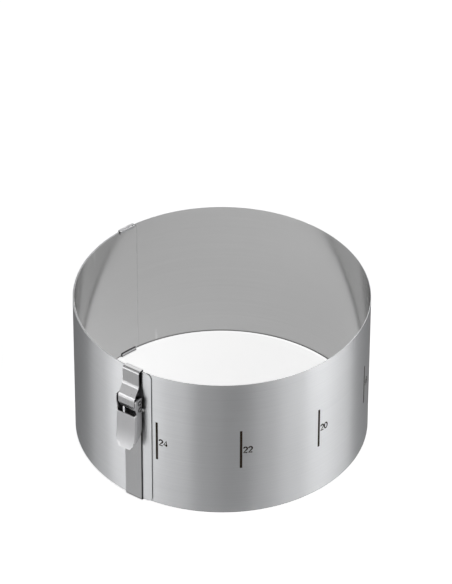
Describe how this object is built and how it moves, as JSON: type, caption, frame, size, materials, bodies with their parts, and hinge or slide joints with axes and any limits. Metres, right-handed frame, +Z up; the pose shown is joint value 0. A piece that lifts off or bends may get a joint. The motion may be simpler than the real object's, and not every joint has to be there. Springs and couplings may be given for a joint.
{
  "type": "adjustable cake ring",
  "caption": "Tall adjustable cake ring of sprung stainless steel strip, overlapped and held by an over-centre draw latch, with a diameter scale round its front.",
  "frame": {"origin": "on the ring's axis, at the level that the ring stands on", "axes": "+Z up along the ring's axis, -Y to the front where the scale is, +X to the right; the latch is 35 degrees left of the front"},
  "size_m": [0.2426, 0.2421, 0.1322],
  "materials": {
    "band_steel": "brushed round the ring, mirror-like inside",
    "clip_steel": "satin",
    "clamp_steel": "satin",
    "lever_steel": "satin",
    "pin_steel": "satin"
  },
  "bodies": {
    "ring": {"ring_band": "band_steel", "guide_clip_top": "clip_steel", "guide_clip_bottom": "clip_steel"},
    "clamp": {"clamp_strap": "clamp_steel"},
    "lever": {"clamp_lever": "lever_steel", "pivot_pin": "pin_steel", "catch_pin": "pin_steel"},
    "catch": {"clamp_catch": "clamp_steel"}
  },
  "joints": [
    {"name": "clamp_slide", "type": "hinge", "parent": "ring", "child": "clamp", "pos_m": [0, 0, 0.066], "axis": [0, 0, 1], "range_deg": [-95, 3]},
    {"name": "lever_pivot", "type": "hinge", "parent": "clamp", "child": "lever", "pos_m": [-0.07223, -0.10373, 0.1033], "axis": [-0.8207, 0.5714, 0], "range_deg": [0, 90]},
    {"name": "catch_pivot", "type": "hinge", "parent": "lever", "child": "catch", "pos_m": [-0.072, -0.1034, 0.0968], "axis": [-0.8207, 0.5714, 0], "range_deg": [-74, 0]}
  ],
  "couplings": [
    {"joint": "catch_pivot", "follows": "lever_pivot", "ratio": -0.815}
  ]
}
